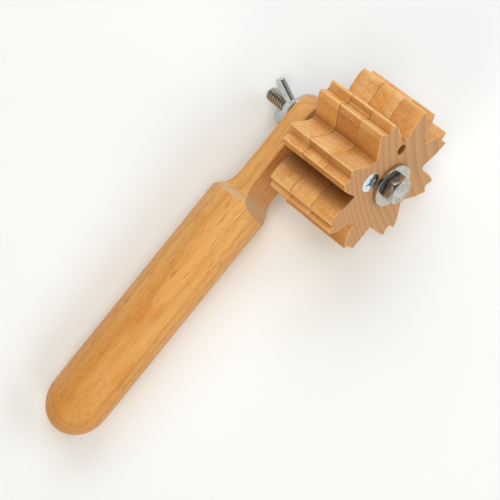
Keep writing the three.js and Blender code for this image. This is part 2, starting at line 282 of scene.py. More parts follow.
def tooth_points(cuts, middle, steps=25):
    """One tooth's outline: its cuts as quadratic bends in its own axes, turned to its middle angle."""
    ends = [np.array(cut[-2:], float) for cut in cuts]
    path = [ends[0][None]]
    for here, cut, end in zip(ends, cuts[1:], ends[1:]):
        bend = np.array(cut[:2], float) if len(cut) == 4 else (here + end) / 2
        path.append(bends(here, bend, end, steps)[1:])
    across, height = np.concatenate(path).T
    out = np.array([math.cos(middle), math.sin(middle)])
    side = np.array([-out[1], out[0]])
    return height[:, None] * out + across[:, None] * side


def wheel_outline(spacing=0.14, ease=0.1):
    """The wheel's outline as evenly spaced points in x and z. Its corners are eased by a Gaussian blur along
    the outline, done on its Fourier series."""
    pitch = 360 / len(MOULDINGS)
    teeth = [tooth_points(cuts, math.radians(WHEEL_TURN + pitch * k)) for k, cuts in enumerate(MOULDINGS)]
    teeth.reverse()
    path = np.concatenate(teeth + [teeth[0][:1]])
    run = np.concatenate([[0], np.cumsum(np.linalg.norm(np.diff(path, axis=0), axis=1))])
    count = int(run[-1] / spacing)
    at = np.linspace(0, run[-1], count, endpoint=False)
    even = np.stack([np.interp(at, run, path[:, k]) for k in (0, 1)], axis=-1)
    return softened(even, ease)


def softened(outline, ease):
    """An outline blurred along itself by a Gaussian of so many millimetres, through its Fourier series."""
    length = np.sum(np.linalg.norm(np.roll(outline, -1, axis=0) - outline, axis=1))
    frequency = np.fft.fftfreq(len(outline), d=length / len(outline))
    blur = np.exp(-2 * (math.pi * ease * frequency) ** 2)[:, None]
    return np.fft.ifft(np.fft.fft(outline, axis=0) * blur, axis=0).real


def relief(outline, ease):
    """How far an outline stands out from its softened self: above 0 on ridges and below 0 in hollows."""
    return np.sum((outline - softened(outline, ease)) * outline_normals(outline), axis=1)


def outline_normals(outline):
    """The outward normals of an outline that runs clockwise in x and z."""
    along = np.roll(outline, -1, axis=0) - np.roll(outline, 1, axis=0)
    along /= np.linalg.norm(along, axis=1, keepdims=True)
    return np.stack([-along[:, 1], along[:, 0]], axis=-1)


def nearest(points, outline):
    """The number of the outline's point nearest to each point, and its distance, in blocks of points."""
    blocks = np.array_split(points, max(1, len(points) // 500))
    found = [np.argmin(np.linalg.norm(block[:, None] - outline[None], axis=2), axis=1) for block in blocks]
    found = np.concatenate(found)
    return found, np.linalg.norm(points - outline[found], axis=1)


def inside(points, outline):
    """Whether each point lies inside: a line to its right crosses the outline an odd number of times."""
    x0, z0 = outline.T
    x1, z1 = np.roll(outline, -1, axis=0).T
    x = points[:, :1]
    z = points[:, 1:]
    spans = (z0 > z) != (z1 > z)
    rise = np.where(z1 == z0, 1e-9, z1 - z0)
    return np.sum(spans & (x < x0 + (z - z0) / rise * (x1 - x0)), axis=1) % 2 == 1


def flat_area(loops, y, spacing=None):
    """The flat area at y between an outer loop and the loops of its holes, in triangles: a Delaunay net over
    the loops, with an even grid of points between them where spacing is given."""
    outer = loops[0]
    points = np.concatenate(loops)
    starts = np.cumsum([0] + [len(loop) for loop in loops])
    edges = [(a + k, a + (k + 1) % (b - a)) for a, b in zip(starts, starts[1:]) for k in range(b - a)]
    if spacing:
        ranges = [np.arange(a, b, spacing) for a, b in zip(outer.min(axis=0), outer.max(axis=0))]
        seeds = np.stack(np.meshgrid(*ranges), axis=-1).reshape(-1, 2)
        seeds = seeds[inside(seeds, outer[::2])]
        seeds = seeds[nearest(seeds, points[::2])[1] > spacing * 0.6]
        points = np.concatenate([points, seeds])
    outer_face = [list(range(len(outer)))]
    found = delaunay_2d_cdt([Vector(p) for p in points.tolist()], edges, outer_face, 1, 1e-7)
    flat = np.array([tuple(p) for p in found[0]])
    triangles = np.array([list(face) for face in found[2]])
    middles = flat[triangles].mean(axis=1)
    for hole in loops[1:]:
        centre = hole.mean(axis=0)
        clear = np.linalg.norm(middles - centre, axis=1) > np.linalg.norm(hole[0] - centre)
        triangles = triangles[clear]
        middles = middles[clear]
    return np.stack([flat[:, 0], np.full(len(flat), y), flat[:, 1]], axis=-1), triangles.tolist()


def ply(name, index, outline):
    """A ply: its outline carried across its thickness with rounded arrises, its holes, and two flat faces.
    Its points are marked with their inset, the distance from the outline in millimetres, and with ridge and
    hollow, the outline's fine and broad relief. A hole's wall counts as a deep hollow, which the beech
    darkens as painted shade."""
    front = index * (PLY_THICKNESS + GLUE_LINE)
    back = front + PLY_THICKNESS
    first = index == 0
    last = index == PLY_COUNT - 1
    front_round = OUTER_ARRIS if first else GLUED_ARRIS
    back_round = OUTER_ARRIS if last else GLUED_ARRIS
    quarter = np.linspace(0, math.pi / 2, 4)
    falling = 1 - np.sin(quarter)
    rising = 1 - np.cos(quarter)
    inset = np.concatenate([front_round * falling, [0.0, 0.0], back_round * rising])
    third = PLY_THICKNESS / 3
    middle = [front + third, back - third]
    depth = np.concatenate([front + front_round * rising, middle, back - back_round * falling])
    edge = outline[None] - inset[:, None, None] * outline_normals(outline)[None]
    rim = np.stack([edge[..., 0], np.broadcast_to(depth[:, None], edge.shape[:2]), edge[..., 1]], axis=-1)
    parts = [grid(rim)]
    fronts = [edge[0]]
    backs = [edge[-1]]
    fine = relief(outline, FINE_RELIEF)
    broad = relief(outline, BROAD_RELIEF)
    marks = {
        "inset": [np.repeat(inset, len(outline))],
        "ridge": [np.tile(fine, len(depth))],
        "hollow": [np.tile(broad, len(depth))],
    }

    def hole(radii, depths, place=(0.0, 0.0), columns=64, through=True):
        wall = turned(radii, depths, columns, place)
        parts.append(grid(wall))
        fronts.append(wall[0][:, [0, 2]])
        if through:
            backs.append(wall[-1][:, [0, 2]])
        else:
            parts.append(lid(wall[-1]))
        count = wall.shape[0] * columns + (0 if through else columns)
        for mark, value in (("inset", 0.0), ("ridge", 0.0), ("hollow", HOLE_HOLLOW)):
            marks[mark].append(np.full(count, value))

    def flat(loops, y, spacing):
        points, triangles = flat_area(loops, y, spacing)
        parts.append((points, triangles))
        number, distance = nearest(points[:, [0, 2]], outline)
        fade = np.exp(-distance / RELIEF_FADE)
        marks["inset"].append(np.minimum(distance, INSET_LIMIT))
        marks["ridge"].append(fine[number] * fade)
        marks["hollow"].append(broad[number] * fade)

    ease = 0.25
    bore = [BORE_RADIUS + ease, BORE_RADIUS, BORE_RADIUS, BORE_RADIUS + ease]
    hole(bore, [front, front + ease, back - ease, back])
    screw = polar(SCREW_PLACE)
    gap = 0.06
    shank = SCREW_SHANK + gap
    if first:
        sink = SCREW_RADIUS + gap
        hole([sink, sink, shank, shank], [front, SCREW_LIP, SCREW_DEPTH, back], screw)
        spare = SPARE_HOLE_RADIUS
        drilled = [spare + 0.1, spare, spare - 0.1, spare - 0.3]
        hole(drilled, [front, front + 0.3, front + 6, back], polar(SPARE_HOLE_PLACE))
    else:
        tip = min(back, SCREW_LENGTH + 0.3)
        hole([shank, shank], [front, tip], screw, through=tip == back)
    flat(fronts, front, FACE_SPACING if first else None)
    flat(backs, back, FACE_SPACING if last else None)
    return piece_of(name, parts, marks=marks)


# The handle


def cove(x, shoulder, length, low, high):
    """Distance from the middle of a cove's outline: level at low, then bending up to high at the shoulder."""
    path = bends((shoulder + length, low), (shoulder + length * COVE_BEND, low), (shoulder, high), 400)[::-1]
    return np.where(x < shoulder, GRIP_RADIUS * 4, np.interp(x, path[:, 0], path[:, 1]))


def handle_sections():
    """The handle's x stations: the domed butt, the grip, the coves and the arm's round end, closest together
    where the surface bends most."""
    quarter = np.linspace(0.03, math.pi / 2, 40)
    butt = BUTT_END + BUTT_DOME * (1 - np.cos(quarter))
    grip = np.linspace(butt[-1], SHOULDER, 60)
    arm = np.linspace(SHOULDER + COVE_LENGTH, 0, 24)
    end = ARM_HALF_WIDTH * np.sin(np.linspace(0, math.pi / 2, 40))
    t = np.linspace(0, 1, 80)
    reach = 2 * t * (1 - t) * COVE_BEND + t**2
    coves = [SHOULDER + COVE_LENGTH * reach, SIDE_SHOULDER + SIDE_COVE_LENGTH * reach, [SHOULDER - 0.01]]
    return np.unique(np.round(np.concatenate([butt, grip, arm, end, *coves]), 3))


def handle_piece():
    """The handle: in each section, the distance to the round bar and to the four sawn sides is combined by a
    power mean, which rounds the edges where they meet."""
    x = handle_sections()[:, None]
    columns = 224
    angle = (TURN * (np.arange(columns) + 0.5) / columns)[None, :]
    share = np.clip((x - SHOULDER) / COVE_LENGTH, 0, 1)
    share = share * share * (3 - 2 * share)
    middle = (ARM_FRONT + ARM_BACK) / 2
    centre = GRIP_AXIS + share * (middle - GRIP_AXIS)
    dy = np.cos(angle)
    dz = np.sin(angle)
    dome = np.clip((BUTT_END + BUTT_DOME - x) / BUTT_DOME, 0, 1)
    radius = GRIP_RADIUS * np.sqrt(1 - dome**2)
    offset = centre - GRIP_AXIS
    bar = -offset * dy + np.sqrt(np.maximum((offset * dy) ** 2 + radius**2 - offset**2, 1e-6))
    front = centre - (GRIP_AXIS - cove(x, SHOULDER, COVE_LENGTH, GRIP_AXIS - ARM_FRONT, GRIP_RADIUS))
    back = GRIP_AXIS + cove(x, SHOULDER, COVE_LENGTH, ARM_BACK - GRIP_AXIS, GRIP_RADIUS) - centre
    side = cove(x, SIDE_SHOULDER, SIDE_COVE_LENGTH, ARM_HALF_WIDTH, GRIP_RADIUS)
    side = np.where(x > 0, np.sqrt(np.maximum(ARM_HALF_WIDTH**2 - x**2, 1e-5)), side)
    power = 56
    inverse = (
        bar**-power
        + (np.clip(-dy, 0, None) / front) ** power
        + (np.clip(dy, 0, None) / back) ** power
        + (np.abs(dz) / side) ** power
    )
    reach = inverse ** (-1 / power)
    points = np.stack([np.broadcast_to(x, reach.shape), centre + reach * dy, reach * dz], axis=-1)
    return piece_of("handle_beech", [grid(points), lid(points[0]), lid(points[-1])], 50.0)


# Bolt, nuts, washers and screw


def hexagon_rows(front, columns, chamfer=0.92, slope=0.9):
    """Loops over a hexagon's turned-off face, from near the axis to the full hexagon: radii and heights."""
    hexagon = hexagon_radius(TURN * np.arange(columns) / columns, HEX_APOTHEM, HEAD_TURN)
    level = np.ones(columns)
    flat = level * HEX_APOTHEM * chamfer
    drop = (hexagon - flat) * slope
    slant = [flat + (hexagon - flat) * part for part in (0.5, 0.95)]
    radii = [flat * 0.5, flat - 0.15, flat + 0.05, *slant, hexagon]
    heights = [0 * level, 0 * level, 0.03 * level, drop * 0.5, drop * 0.95, drop + 0.12]
    return radii, [front + height for height in heights], hexagon


def bolt_piece():
    """The bolt: loops about its axis, from the head's middle over the chamfered hexagon, down the shank and
    the thread to the end. The thread's depth follows the height less the pitch times the share of a turn:
    its root and its flank are shares of half a pitch, and the crest is the rest."""
    columns = 144
    level = np.ones(columns)
    angle = TURN * np.arange(columns) / columns
    radii, heights, hexagon = hexagon_rows(HEAD_FRONT, columns)
    start = WING_NUT_FRONT - 4
    radii = [level * 0.02, *radii, hexagon, hexagon - 0.12, level * BOLT_RADIUS, level * BOLT_RADIUS]
    tail = [HEAD_BACK - 0.15, HEAD_BACK, HEAD_BACK, start]
    heights = [level * HEAD_FRONT, *heights, *[level * height for height in tail]]
    rows_per_pitch = 12
    rows = int((BOLT_END - start) / THREAD_PITCH * rows_per_pitch)
    height = np.linspace(start + 0.1, BOLT_END, rows)[:, None]
    phase = (height / THREAD_PITCH - angle[None] / TURN) % 1.0
    crest = np.clip((np.abs(2 * phase - 1) - THREAD_ROOT) / THREAD_FLANK, 0, 1)
    run_in = np.minimum(1.0, (height - start) / THREAD_RUN_IN)
    thread = BOLT_RADIUS - THREAD_DEPTH * run_in * (1 - crest)
    thread = np.minimum(thread, BOLT_RADIUS - END_CHAMFER + (BOLT_END - height) * 1.2)
    radii = np.concatenate([np.array(radii), thread, level[None] * 0.02])
    heights = np.concatenate([np.array(heights), height + 0 * level[None], level[None] * BOLT_END])
    points = turned(radii, heights, columns)
    return piece_of("axle_bolt_zinc", [grid(points), lid(points[0]), lid(points[-1])], 32.0)


def washer_piece(name, front):
    """A punched washer: a flat ring turned about the bolt from a closed profile with rounded corners."""
    back = front + WASHER_THICKNESS
    corners = [
        [WASHER_BORE, front],
        [(WASHER_BORE + WASHER_RADIUS) / 2, front],
        [WASHER_RADIUS, front],
        [WASHER_RADIUS, back],
        [WASHER_BORE, back],
    ]
    profile = rounded(corners, 0.35)
    return piece_of(name, [grid(turned(profile[:, 0], profile[:, 1], 128), closed_rows=True)])


def lock_nut_piece():
    """A hexagon nut: loops from the bore out over both chamfered faces and round the flats."""
    columns = 144
    level = np.ones(columns)
    bore = BOLT_RADIUS + 0.1
    back = LOCK_NUT_FRONT + LOCK_NUT_HEIGHT
    radii, heights, _ = hexagon_rows(LOCK_NUT_FRONT, columns)
    radii = [level * bore, level * (bore + 0.5), *radii[2:]]
    heights = [level * (LOCK_NUT_FRONT + 0.5), level * LOCK_NUT_FRONT, *heights[2:]]
    radii = radii + radii[::-1]
    heights = heights + [LOCK_NUT_FRONT + back - height for height in heights[::-1]]
    points = turned(np.array(radii), np.array(heights), columns)
    return piece_of("lock_nut_zinc", [grid(points, closed_rows=True)], 32.0)


def wing_outline():
    """One wing's outline, in distance from the bolt's axis and height above the nut's base: a bar that leans
    out of the boss to a blunt end with round corners."""
    corner = WING_WIDTH * 0.34
    lean = np.array([math.sin(math.radians(WING_LEAN)), math.cos(math.radians(WING_LEAN))])
    across = np.array([lean[1], -lean[0]])
    inner = np.array([WING_SPAN / 2 - WING_WIDTH * across[0], WING_TOP])
    outer = inner + WING_WIDTH * across
    root = outer - lean * (outer[1] - WING_ROOT) / lean[1]
    fillet = root - lean * WING_ROOT * 0.28
    foot = np.array([fillet[0], WING_FOOT + 0.5])
    inner_root = inner - lean * (WING_TOP - WING_NUT_HEIGHT - 0.4) / lean[1]
    start = np.array([BOLT_RADIUS + 1.0, foot[1]])
    end = np.array([BOLT_RADIUS + 1.0, WING_NUT_HEIGHT - 1.0])
    path = [
        bends(start, (start + foot) / 2, foot, 6, False),
        bends(foot, fillet, root, 12, False),
        bends(root, (root + outer) / 2, outer - corner * lean, 12, False),
        bends(outer - corner * lean, outer, outer - corner * across, 12, False),
        bends(outer - corner * across, (outer + inner) / 2, inner + corner * across, 8, False),
        bends(inner + corner * across, inner, inner - corner * lean, 12, False),
        bends(inner - corner * lean, (inner + inner_root) / 2, inner_root, 12, False),
        bends(inner_root, (inner_root + end) / 2, end, 8, False),
        bends(end, (end + start) / 2, start, 8, False),
    ]
    return np.concatenate(path)


def wing_nut_piece():
    """The wing nut: a tapered boss and two wings, remeshed into one casting and smoothed, so that they meet
    in fillets. A wing is its outline carried through its thickness, drawn in on both faces. That outline
    runs anticlockwise, so its normals point inwards."""
    boss = [
        [BOLT_RADIUS + 0.15, 0.5],
        [BOLT_RADIUS + 0.7, 0],
        [WING_BOSS_RADIUS - 0.2, 0],
        [WING_BOSS_RADIUS, 0.9],
        [WING_BOSS_RADIUS - WING_BOSS_TAPER, WING_NUT_HEIGHT],
        [BOLT_RADIUS + 0.5, WING_NUT_HEIGHT],
        [BOLT_RADIUS + 0.15, WING_NUT_HEIGHT - 0.4],
    ]
    profile = rounded(boss, 0.4)
    parts = [grid(turned(profile[:, 0], profile[:, 1] + WING_NUT_FRONT, 72), closed_rows=True)]
    outline = wing_outline()
    offset = WING_THICKNESS / 2 * np.array([-1, -0.9, -0.6, 0.6, 0.9, 1])
    draw = np.array([0.55, 0.2, 0, 0, 0.2, 0.55])
    points = outline[None] + draw[:, None, None] * outline_normals(outline)[None]
    for way in (0.0, math.pi):
        angle = math.radians(WING_TURN) + way
        out = np.array([math.cos(angle), math.sin(angle)])
        side = np.array([-out[1], out[0]])
        plane = points[..., :1] * out + offset[:, None, None] * side
        wing = np.stack([plane[..., 0], WING_NUT_FRONT + points[..., 1], plane[..., 1]], axis=-1)
        parts += [grid(wing), lid(wing[0]), lid(wing[-1])]
    rough = piece_of("wing_nut_zinc", parts)
    remesh = rough.modifiers.new("cast", "REMESH")
    remesh.mode = "VOXEL"
    remesh.voxel_size = 0.18 * MM
    remesh.use_smooth_shade = True
    smooth = rough.modifiers.new("fillets", "SMOOTH")
    smooth.factor = 0.5
    smooth.iterations = 5
    return applied(rough)


def applied(piece):
    """Applies a piece's modifiers and keeps the result as its mesh."""
    graph = bpy.context.evaluated_depsgraph_get()
    mesh = bpy.data.meshes.new_from_object(piece.evaluated_get(graph))
    piece.modifiers.clear()
    old = piece.data
    piece.data = mesh
    bpy.data.meshes.remove(old)
    mesh.name = piece.name
    return piece


def screw_piece():
    """The wood screw: a polar grid over its slightly crowned head with a cross recess sunk in it, then the
    countersunk cone and the shank. The recess is four arms whose walls slope inwards."""
    columns = 160
    radius = np.concatenate([np.linspace(0.03, 2.9, 44), np.linspace(3.0, SCREW_RADIUS - 0.12, 10)])[:, None]
    angle = (TURN * np.arange(columns) / columns)[None]
    across = radius * np.abs(np.sin(2 * (angle - math.radians(RECESS_TURN)))) / 2
    wall = np.clip((RECESS_ARM - 0.1 * radius - across) / 0.22, 0, 1)
    reach = np.clip((RECESS_REACH - radius) / 0.5, 0, 1)
    centre = np.clip((RECESS_CENTRE - radius) / 0.25, 0, 1)
    depth = np.maximum(wall * reach, centre)
    depth = depth * depth * (3 - 2 * depth) * (RECESS_DEPTH - 0.45 * radius)
    heights = 0.02 - SCREW_CROWN * (1 - (radius / SCREW_RADIUS) ** 2) + np.clip(depth, 0, None)
    tail = [(SCREW_RADIUS, 0.12), (SCREW_RADIUS, SCREW_LIP), (SCREW_SHANK, SCREW_DEPTH)]
    tail += [(SCREW_SHANK, SCREW_LENGTH - 2 * SCREW_SHANK), (0.05, SCREW_LENGTH)]
    tail_radii, tail_heights = np.repeat(np.array(tail)[..., None], columns, axis=2).transpose(1, 0, 2)
    radii = np.concatenate([radius + 0 * angle, tail_radii])
    heights = np.concatenate([heights, tail_heights])
    points = turned(radii, heights, columns, polar(SCREW_PLACE))
    return piece_of("ply_screw_zinc", [grid(points), lid(points[0]), lid(points[-1])], 40.0)


# Materials


def linear(red, green, blue):
    """A colour written in screen values from 0 to 255, in the linear values that shaders take."""
    values = np.array([red, green, blue]) / 255
    curve = np.where(values <= 0.04045, values / 12.92, ((values + 0.055) / 1.055) ** 2.4)
    return (*curve.tolist(), 1.0)


class Value:
    """A shader socket that Python operators work on: each expression adds a Math node."""

    def __init__(self, maker, socket):
        self.maker = maker
        self.socket = socket

    def math(self, operation, *others, swap=False, clamp=False):
        inputs = [self, *others]
        if swap:
            inputs.reverse()
        settings = {"operation": operation, "use_clamp": clamp}
        return self.maker.node("ShaderNodeMath", settings, dict(enumerate(inputs)))

    def __add__(self, other):
        return self.math("ADD", other)

    def __sub__(self, other):
        return self.math("SUBTRACT", other)

    def __rsub__(self, other):
        return self.math("SUBTRACT", other, swap=True)

    def __mul__(self, other):
        return self.math("MULTIPLY", other)

    def __truediv__(self, other):
        return self.math("DIVIDE", other)

    def __pow__(self, other):
        return self.math("POWER", other)

    def fraction(self):
        return self.math("FRACT")

    def size(self):
        return self.math("ABSOLUTE")

    def exponent(self):
        return self.math("EXPONENT")

    def within(self):
        return self.math("ADD", 0.0, clamp=True)

    def rise(self, low, high):
        """0 below low, 1 above high and a smooth step between them."""
        links = {"Value": self, "From Min": low, "From Max": high}
        return self.maker.node("ShaderNodeMapRange", {"interpolation_type": "SMOOTHSTEP"}, links)

    def band(self, middle, half_width):
        """1 at middle, falling smoothly to 0 at half_width on either side."""
        return 1 - (self - middle).size().rise(0.0, half_width)


class Maker:
    """Builds one material, or a world: its nodes, and the surface that they feed."""

    def __init__(self, name, kind="materials"):
        self.made = getattr(bpy.data, kind).new(name)
        self.made.use_nodes = True
        self.tree = self.made.node_tree
        self.tree.nodes.clear()

    def node(self, kind, settings=None, links=None, output=0):
        """Adds a node, makes its settings, fills its sockets and returns one of its outputs, or, for a list
        of names, each of those outputs."""
        made = self.tree.nodes.new(kind)
        for name, value in (settings or {}).items():
            if name == "stops":
                self.fill_ramp(made.color_ramp, value)
            else:
                setattr(made, name, value)
        for name, value in (links or {}).items():
            socket = made.inputs[name]
            if isinstance(value, Value):
                self.tree.links.new(value.socket, socket)
            else:
                socket.default_value = value
        if isinstance(output, list):
            return [Value(self, made.outputs[name]) for name in output]
        return Value(self, made.outputs[output]) if made.outputs else made

    def fill_ramp(self, ramp, stops):
        while len(ramp.elements) > 1:
            ramp.elements.remove(ramp.elements[-1])
        for k, (place, tone) in enumerate(stops):
            element = ramp.elements[0] if k == 0 else ramp.elements.new(place)
            element.position = place
            element.color = (tone, tone, tone, 1.0)

    def tool_place(self):
        """The point on the surface in the tool's frame, in millimetres."""
        coordinates = self.node("ShaderNodeTexCoord", output="Object")
        return self.node(
            "ShaderNodeMapping",
            {"vector_type": "TEXTURE"},
            {
                "Vector": coordinates,
                "Location": TOOL_ORIGIN,
                "Rotation": TOOL_MATRIX.to_euler(),
                "Scale": (MM, MM, MM),
            },
        )

    def turned(self, place, degrees):
        """A place turned about the bolt's axis, so that its x runs at that angle in the wheel's plane."""
        links = {"Vector": place, "Rotation": (0.0, math.radians(degrees), 0.0)}
        return self.node("ShaderNodeMapping", {"vector_type": "POINT"}, links)

    def stretched(self, place, scale, shift=(0.0, 0.0, 0.0)):
        links = {"Vector": place, "Scale": scale, "Location": shift}
        return self.node("ShaderNodeMapping", {"vector_type": "POINT"}, links)

    def noise(self, place, scale, detail=2.0, roughness=0.5, distortion=0.0, shift=(0.0, 0.0, 0.0)):
        """Noise with so many features to a millimetre along each axis."""
        links = {"Vector": self.stretched(place, scale, shift), "Scale": 1.0, "Detail": detail}
        links |= {"Roughness": roughness, "Distortion": distortion}
        return self.node("ShaderNodeTexNoise", {"noise_dimensions": "3D"}, links, "Fac")

    def parts(self, place):
        return self.node("ShaderNodeSeparateXYZ", {}, {0: place}, ["X", "Y", "Z"])

    def mark(self, name):
        """A value that the mesh holds at its points."""
        return self.node("ShaderNodeAttribute", {"attribute_name": name}, {}, "Fac")

    def facing(self, degrees):
        """How far the surface faces along an angle in the wheel's plane, forwards or backwards: 0 to 1."""
        x, z = polar((1.0, degrees))
        normal = self.node("ShaderNodeTexCoord", output="Normal")
        links = {0: normal, 1: TOOL_MATRIX @ Vector((x, 0.0, z))}
        return self.node("ShaderNodeVectorMath", {"operation": "DOT_PRODUCT"}, links, "Value").size()

    def mix(self, share, first, second):
        """A colour between two others."""
        return self.node("ShaderNodeMix", {"data_type": "RGBA"}, {0: share, 6: first, 7: second}, 2)

    def ramp(self, value, stops):
        return self.node("ShaderNodeValToRGB", {"stops": stops}, {"Fac": value}, "Color")

    def bump(self, height, distance, strength):
        """A bump whose full height is so many millimetres."""
        links = {"Height": height, "Distance": distance * MM, "Strength": strength}
        return self.node("ShaderNodeBump", {}, links, "Normal")

    def surface(self, **sockets):
        """Ends the material in a Principled surface with these sockets."""
        links = {name.replace("_", " "): value for name, value in sockets.items()}
        shader = self.node("ShaderNodeBsdfPrincipled", {}, links)
        self.node("ShaderNodeOutputMaterial", {}, {"Surface": shader})
        return self.made


# Beech tones, as they look under plain light
PALE_BEECH = linear(252, 200, 132)
GOLD_BEECH = linear(243, 178, 104)
GRIP_PALE = linear(236, 175, 104)
GRIP_GOLD = linear(229, 163, 89)
DEEP_BEECH = linear(210, 136, 58)
BROWN_BEECH = linear(148, 82, 18)
DARK_BEECH = linear(96, 44, 4)
FLECK_BEECH = linear(168, 90, 30)
GREY_BEECH = linear(224, 190, 146)
GLOW_BEECH = linear(222, 136, 58)
FACE_PALE = linear(215, 160, 110)
FACE_DEEP = linear(193, 136, 89)

# The valley with a painted shadow, and the side with painted shade and grain the cutter tore, as an angle in
# the wheel's plane
PAINTED_SHADOW_X = -15.5
PAINTED_SHADOW_Z = 11.5
PAINTED_SHADOW_RADIUS = 10.5
TORN_AND_SHADED_SIDE = 155.0

# The rings on the wheel's face: their centre, the distance from it at which s is 0, how fast they crowd
# together, about how many lie inside that distance, and the phase
RINGS_X = 131.0
RINGS_Z = -44.0
RINGS_REACH = 145.0
RINGS_CROWDING = 40.0
RINGS_COUNT = 13.8
RINGS_PHASE = 40.0

# How dark a ring is across its width, as a thin line and as a broad band
RING_LINE = [(0.0, 0.2), (0.15, 0.0), (0.5, 0.1), (0.85, 0.8), (0.94, 1.0), (1.0, 0.2)]
RING_BAND = [(0.0, 0.1), (0.12, 0.0), (0.45, 0.3), (0.8, 0.95), (0.93, 1.0), (1.0, 0.1)]


def flecks(maker, place, length, width, kept):
    """Ray flecks: the cells of a Voronoi pattern drawn out along the grain, each with a spindle about its
    middle. kept is the share of the cells that have one."""
    links = {"Vector": maker.stretched(place, (1 / length, 1 / width, 1 / width)), "Scale": 1.0}
    distance, chance = maker.node("ShaderNodeTexVoronoi", {"feature": "F1"}, links, ["Distance", "Color"])
    picked = maker.parts(chance)[0].rise(1 - kept, 1.15 - kept)
    return (1 - distance.rise(0.16, 0.27)) * picked


def apart(first, second):
    """The distance over two lengths at right angles."""
    return (first * first + second * second) ** 0.5


def pith_distance(maker, place, pith, wander):
    """The distance to a pith that runs along the grain, which wanders by so many millimetres."""
    _, depth, width = maker.parts(place)
    drift = maker.noise(place, (0.012, 0.05, 0.05)) - 0.5
    return apart(depth - pith[0], width - pith[1]) + drift * wander


def grip_beech():
    """The handle's beech, its grain along the handle: a deep streak on one side, growth rings that show as
    contours on the domed butt, many fine flecks, and grey scrubbed end grain in the coves."""
    maker = Maker("beech_grip")
    place = maker.tool_place()
    along, depth, width = maker.parts(place)
    drift = maker.noise(place, (0.018, 0.05, 0.05), 2.0, shift=(4.0, 1.0, 6.0)) - 0.5
    across = (depth - GRIP_AXIS) * 0.865 + width * 0.5 + drift * 9.0
    streak = across.band(4.5, 6.5) * (1 - along.rise(-50.0, -30.0) * 0.6)
    patches = maker.noise(place, (0.035, 0.16, 0.16), 2.0, shift=(2.0, 9.0, 3.0))
    colour = maker.mix(patches.rise(0.3, 0.7) * 0.8, GRIP_PALE, GRIP_GOLD)
    colour = maker.mix((streak * 0.45).within(), colour, DEEP_BEECH)
    glow = maker.noise(place, (0.06, 0.15, 0.15), 1.0, shift=(8.0, 4.0, 1.0)).rise(0.6, 0.76)
    colour = maker.mix(glow * 0.45, colour, GLOW_BEECH)
    colour = maker.mix((1 - along.rise(-155.0, -95.0)) * 0.3, colour, DEEP_BEECH)
    colour = maker.mix(along.rise(-95.0, -40.0) * 0.25, colour, PALE_BEECH)
    rings = maker.ramp((pith_distance(maker, place, (84.0, -63.0), 6.0) / 2.6).fraction(), RING_LINE)
    colour = maker.mix(rings * 0.24, colour, FLECK_BEECH)
    fibres = maker.noise(place, (0.08, 2.6, 2.6), 4.0, 0.68)
    colour = maker.mix(fibres.rise(0.42, 0.66) * 0.26, colour, DEEP_BEECH)
    colour = maker.mix((0.46 - fibres).rise(0.0, 0.12) * 0.2, colour, PALE_BEECH)
    long_marks = flecks(maker, place, 11.0, 0.66, 0.85)
    shifted = maker.stretched(place, (1.0, 1.0, 1.0), (5.0, 2.3, 7.1))
    short_marks = flecks(maker, shifted, 6.5, 0.46, 0.9)
    crowd = maker.noise(place, (0.02, 0.09, 0.09), 1.0, shift=(1.0, 5.0, 2.0)).rise(0.25, 0.6)
    marks = (long_marks * 0.75 + short_marks * 0.6) * (crowd * 0.65 + 0.35)
    end = maker.facing(0.0).rise(0.12, 0.6) * along.rise(-60.0, -50.0) * (1 - along.rise(-34.0, -30.0))
    # Painted shade on the arm's front face next to the wheel, in the gap between the parts.
    inner = (1 - depth.rise(42.0, 43.0)) * along.rise(-36.0, -24.0)
    pores = maker.noise(place, (0.9, 1.6, 1.6), 3.0, 0.65, shift=(3.0, 3.0, 7.0))
    colour = maker.mix(end * 0.85, colour, GREY_BEECH)
    colour = maker.mix(inner * 0.3, colour, FLECK_BEECH)
    colour = maker.mix((marks * (1 - end * 0.6)).within(), colour, FLECK_BEECH)
    colour = maker.mix(end * pores.rise(0.5, 0.68) * 0.45, colour, PALE_BEECH)
    colour = maker.mix(end * pores.band(0.42, 0.06) * 0.3, colour, BROWN_BEECH)
    height = fibres * 0.5 - marks * 0.15 + end * pores * 0.8
    return maker.surface(
        Base_Color=colour,
        Roughness=fibres * 0.14 + 0.42,
        Normal=maker.bump(height, 0.09, 0.6),
        Specular_IOR_Level=0.24,
    )


